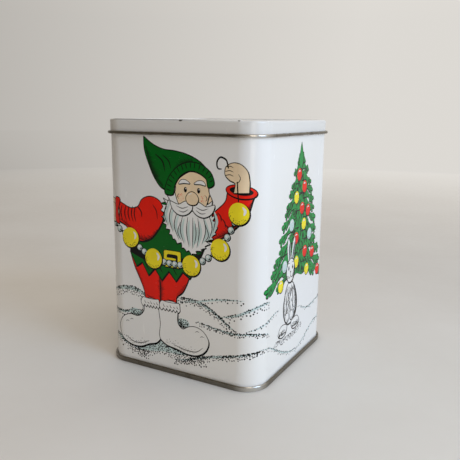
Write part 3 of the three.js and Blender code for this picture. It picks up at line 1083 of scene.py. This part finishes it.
def inked(picture):
    """The picture as triangles that do not overlap: points, each one's corners, middles and inks."""
    shapes = list(wrapped(picture.shapes))
    points, faces, middles = triangles([outline for _, outline in shapes] + cuts())
    inks = np.full(len(faces), "", dtype="<U8")
    for ink, outline in reversed(shapes):
        low, high = outline.min(0), outline.max(0)
        first, last = np.searchsorted(middles[:, 0], (low[0], high[0]))
        z = middles[first:last, 1]
        bare = first + np.nonzero((inks[first:last] == "") & (z > low[1]) & (z < high[1]))[0]
        if len(bare):
            inks[bare[inside(middles[bare], outline)]] = ink
    inks[np.abs(middles[:, 0]) > PICTURE / 2] = ""
    return points, faces, middles, inks


def printed(picture):
    """One thin piece of ink for each colour, laid on the body's outer face."""
    points, faces, middles, inks = inked(picture)
    off_seam = np.abs(middles[:, 0] + PICTURE - SEAM_AT) > SEAM_STRIP
    for ink, color in INKS.items():
        chosen = inks == ink
        corners = np.concatenate([points[faces[chosen]], points[faces[chosen & off_seam]] + (PICTURE, 0)])
        flat, index = np.unique(np.round(corners.reshape(-1, 2), 4), axis=0, return_inverse=True)
        index = index.reshape(-1, 3)
        index = index[(index != np.roll(index, 1, 1)).all(1)]
        spots = [wall(s) for s, _ in flat]
        places = [(*(place + out * INK_LIFT), z) for (place, out), (_, z) in zip(spots, flat)]
        mesh = smooth_mesh("print_" + ink, np.array(places) * MM, index, [ink_material(ink, color)])
        mesh.normals_split_custom_set_from_vertices([(*out, 0) for _, out in spots])
        yield placed(mesh)


# ---- the tin
SEAM_X, _ = wall(SEAM_AT)[0]


def side_seam(points, side):
    """The folded seam: a raised band on the inner face and a fine groove on the outer one."""
    x, y, z = np.moveaxis(points, -1, 0)
    on_back = (y > HALF - 3 * SHEET - 1) & (np.abs(x) < HALF - CORNER)
    rise = np.clip((z - SEAM_LOW) / SEAM_END, 0, 1) * np.clip((SEAM_TOP - z) / SEAM_END, 0, 1)
    across = np.abs(x - SEAM_X)
    band = np.clip((SEAM_WIDE / 2 + SEAM_SLOPE / 2 - across) / SEAM_SLOPE, 0, 1) * SEAM_FOLD
    groove = -np.clip((GROOVE_MOUTH - across) / (GROOVE_MOUTH - GROOVE_FLOOR), 0, 1) * GROOVE_DEPTH
    return np.where(on_back, rise * np.where(side < 0, band, groove), 0.0)


def crown(points, border, height):
    """How far a panel bulges at each point: most in its middle, and nothing from its step outwards."""
    x, y, _ = np.moveaxis(points, -1, 0)
    reach = HALF - border - CROWN_END
    return height * (np.clip(1 - (x / reach) ** 2, 0, 1) * np.clip(1 - (y / reach) ** 2, 0, 1))


def body_wall():
    """From the seam's hook up the wall, with rows of points at the side seam's ends, to the curled rim."""
    fold = SHEET / 2 + 2 * PITCH
    rim = HEIGHT - SHEET - GAP - SHEET / 2 - RIM_RADIUS
    before, after = 0.1, SEAM_END + 0.1
    path = Bent(layer(2), SEAM_HEIGHT - SHEET / 2 - PITCH, -90, ("bare", "bare"))
    path.ahead_to(z=fold).bend(-180, PITCH).painted(("white", "inside"))
    path.ahead_to(z=SEAM_LOW - before).ahead_to(z=SEAM_LOW + after).ahead_to(z=SEAM_TOP - after, rows=24)
    path.ahead_to(z=SEAM_TOP + before).ahead_to(z=rim).bend(CURL_SWEEP, RIM_RADIUS)
    return sheet_piece("body_shell", path, {"white": WHITE, "inside": INSIDE, "bare": BARE}, side_seam)


def bottom_end():
    """From the panel down to the foot, and up round the body's hook."""
    def bulge(points, side):
        return side * crown(points, PANEL_BORDER, 0.35)

    foot = (4 * PITCH - FOOT_FLAT) / 2
    path = Bent(-PANEL_BORDER - STEP_START, PANEL_HEIGHT - STEP_DEPTH, 0, ("bare", "inside"))
    path.step_up(STEP_DEPTH).ahead_to(offset=layer(-1) - PANEL_BEND).bend(-90, PANEL_BEND)
    path.ahead_to(z=SHEET / 2 + foot).bend(90, foot).ahead(FOOT_FLAT).bend(90, foot)
    path.ahead_to(z=SEAM_HEIGHT - SHEET / 2 - PITCH).bend(180, PITCH).ahead_to(z=HOOK_TIP)
    return sheet_piece("bottom_panel", path, {"bare": BARE, "inside": INSIDE}, bulge, middle=10)


def lid():
    """From the panel over its edge and down the skirt, to the bare curl."""
    knock_along, knock_below, knock_depth, knock_radius = -8, 0.6, 0.35, 2.2
    knock = np.array([*wall(knock_along)[0], HEIGHT - knock_below])

    def shape(points, side):
        """A slight crown in the panel, and one knock on the edge near a corner."""
        away = np.sum((points - knock) ** 2, -1)
        dent = knock_depth * np.exp(-away / (2 * knock_radius**2))
        return side * (dent - np.where(points[..., 2] > HEIGHT - 2, crown(points, LID_BORDER, 0.3), 0))

    skirt = GAP + SHEET / 2
    top = HEIGHT - SHEET / 2
    path = Bent(-LID_BORDER - STEP_START, top - STEP_DEPTH, 0, ("inside", "white"))
    path.step_up(STEP_DEPTH).ahead_to(offset=skirt - LID_EDGE).bend(-90, LID_EDGE)
    path.ahead_to(z=LID_CURL_HEIGHT + 0.4, rows=3).painted(("bare", "bare"))
    path.ahead_to(z=LID_CURL_HEIGHT).bend(CURL_SWEEP, LID_CURL)
    finishes = {"inside": INSIDE, "white": LID_WHITE, "bare": BARE}
    return sheet_piece("lid_shell", path, finishes, shape, middle=14)


shell, end, cover = body_wall(), bottom_end(), lid()
for piece, body, node, slot in (
    (shell, "tin", "body_wall", "printed_tinplate"),
    (end, "tin", "bottom_end", "bare_tinplate"),
    (cover, "lid", "lid", "white_tinplate"),
):
    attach(piece, body)
    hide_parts(node)
for piece in printed(winter_picture()):
    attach(piece, "tin")

# ---- stage
CAMERA_AZIMUTH, CAMERA_ELEVATION, CAMERA_ROLL = (radians(a) for a in (28.909, 11.5385, 0.513))
CAMERA_DISTANCE = 2.4638  # in heights of the tin, as are the offsets
CAMERA_RIGHT, CAMERA_UP = 0.0351, 0.0276
CAMERA_FIELD = 2 * atan(460 / 2 / 566.65)
FLOOR_RADIUS = 6  # metres
FLOOR_SIDES = 64
WALL_DIM, WALL_PALE = (0.09, 0.073, 0.054), (0.72, 0.695, 0.655)
TOWARD_PALE = (0.47, 0.88, 0)
CEILING = (0.325, 0.285, 0.235)
TABLE_TONES = (0.68, 0.655, 0.62), (0.72, 0.70, 0.67)


def camera():
    a, e, roll = CAMERA_AZIMUTH, CAMERA_ELEVATION, CAMERA_ROLL
    back = Vector((sin(a) * cos(e), -cos(a) * cos(e), sin(e)))
    right = Vector((cos(a), sin(a), 0))
    up = back.cross(right)
    middle = Vector((0, 0, 0.5))
    place = (middle + back * CAMERA_DISTANCE + right * CAMERA_RIGHT + up * CAMERA_UP) * HEIGHT * MM
    rolled = right * cos(roll) + up * sin(roll)
    data = bpy.data.cameras.new("camera")
    data.sensor_width = 36
    data.angle = CAMERA_FIELD
    data.clip_start = 0.01
    seen = placed(data)
    axes = Matrix((rolled, back.cross(rolled), back)).transposed()
    seen.matrix_world = Matrix.Translation(place) @ axes.to_4x4()
    bpy.context.scene.camera = seen


def lamp(name, toward, distance, size, power, color):
    """A soft rectangular light, aimed at the middle of the tin from that direction."""
    data = bpy.data.lights.new(name, "AREA")
    data.shape = "RECTANGLE"
    data.size, data.size_y = size
    data.energy = power
    data.color = color
    light = placed(data)
    way = Vector(toward).normalized()
    light.location = way * distance + Vector((0, 0, HEIGHT * MM / 2))
    light.rotation_euler = way.to_track_quat("Z", "Y").to_euler()


def wall_light(nodes, way):
    """The colour of the room's walls in a direction: dim and warm in front, paler behind and to the right."""
    toward = nodes.add("VectorMath", {0: way, 1: TOWARD_PALE}, operation="DOT_PRODUCT")
    return nodes.mix(nodes.spread(toward.outputs["Value"], -0.7, 0.7), WALL_DIM, WALL_PALE)


def room():
    """Even light from the walls, and more from the ceiling."""
    world = bpy.data.worlds.new("room")
    nodes = Nodes(world)
    way = nodes.coordinates["Generated"]
    up = nodes.xyz(way)["Z"]
    ceiling = nodes.mix(nodes.spread(up, 0.15, 0.95), (0, 0, 0), CEILING)
    light = nodes.add("Mix", {0: 1.0}, data_type="RGBA", blend_type="ADD")
    nodes.put(light.inputs["A"], wall_light(nodes, way))
    nodes.put(light.inputs["B"], ceiling)
    nodes.put(nodes.tree.nodes["Background"].inputs["Color"], light.outputs["Result"])
    bpy.context.scene.world = world


def floor():
    """A pale table top that fades into the walls, so that no horizon shows."""
    nodes = Finish("pale_table")
    fleck = nodes.noise(120, 5)
    away = nodes.add("VectorMath", {0: nodes.place}, operation="LENGTH").outputs["Value"]
    way = nodes.add("VectorMath", {0: nodes.place}, operation="NORMALIZE").outputs[0]
    fade = nodes.spread(away, 0.35, 1.6)
    tone = nodes.mix(nodes.spread(nodes.noise(6, 4), 0.35, 0.65), *TABLE_TONES)
    nodes.set(
        Base_Color=nodes.mix(fade, tone, (0, 0, 0)),
        Roughness=nodes.spread(fleck, 0.3, 0.7, 0.5, 0.62),
        Normal=nodes.bump(fleck, 0.0001, 0.3),
        Specular_IOR_Level=nodes.spread(fade, 0, 1, 0.5, 0),
        Emission_Color=wall_light(nodes, way),
        Emission_Strength=fade,
    )
    rim = [(x, z, 0) for x, z in oval(0, 0, FLOOR_RADIUS, steps=FLOOR_SIDES)]
    table = placed(smooth_mesh("floor", rim, [range(FLOOR_SIDES)], [nodes.material]))


camera()
floor()
room()
lamp("window", (0.96, -0.18, 0.42), distance=1.6, size=(0.7, 1.1), power=14.3, color=(0.495, 0.71, 1.0))
lamp("room_lamp", (0.66, -0.7, 0.34), distance=0.62, size=(0.22, 0.6), power=0.75, color=(1.0, 0.92, 0.82))
bpy.context.scene.view_settings.view_transform = "Standard"
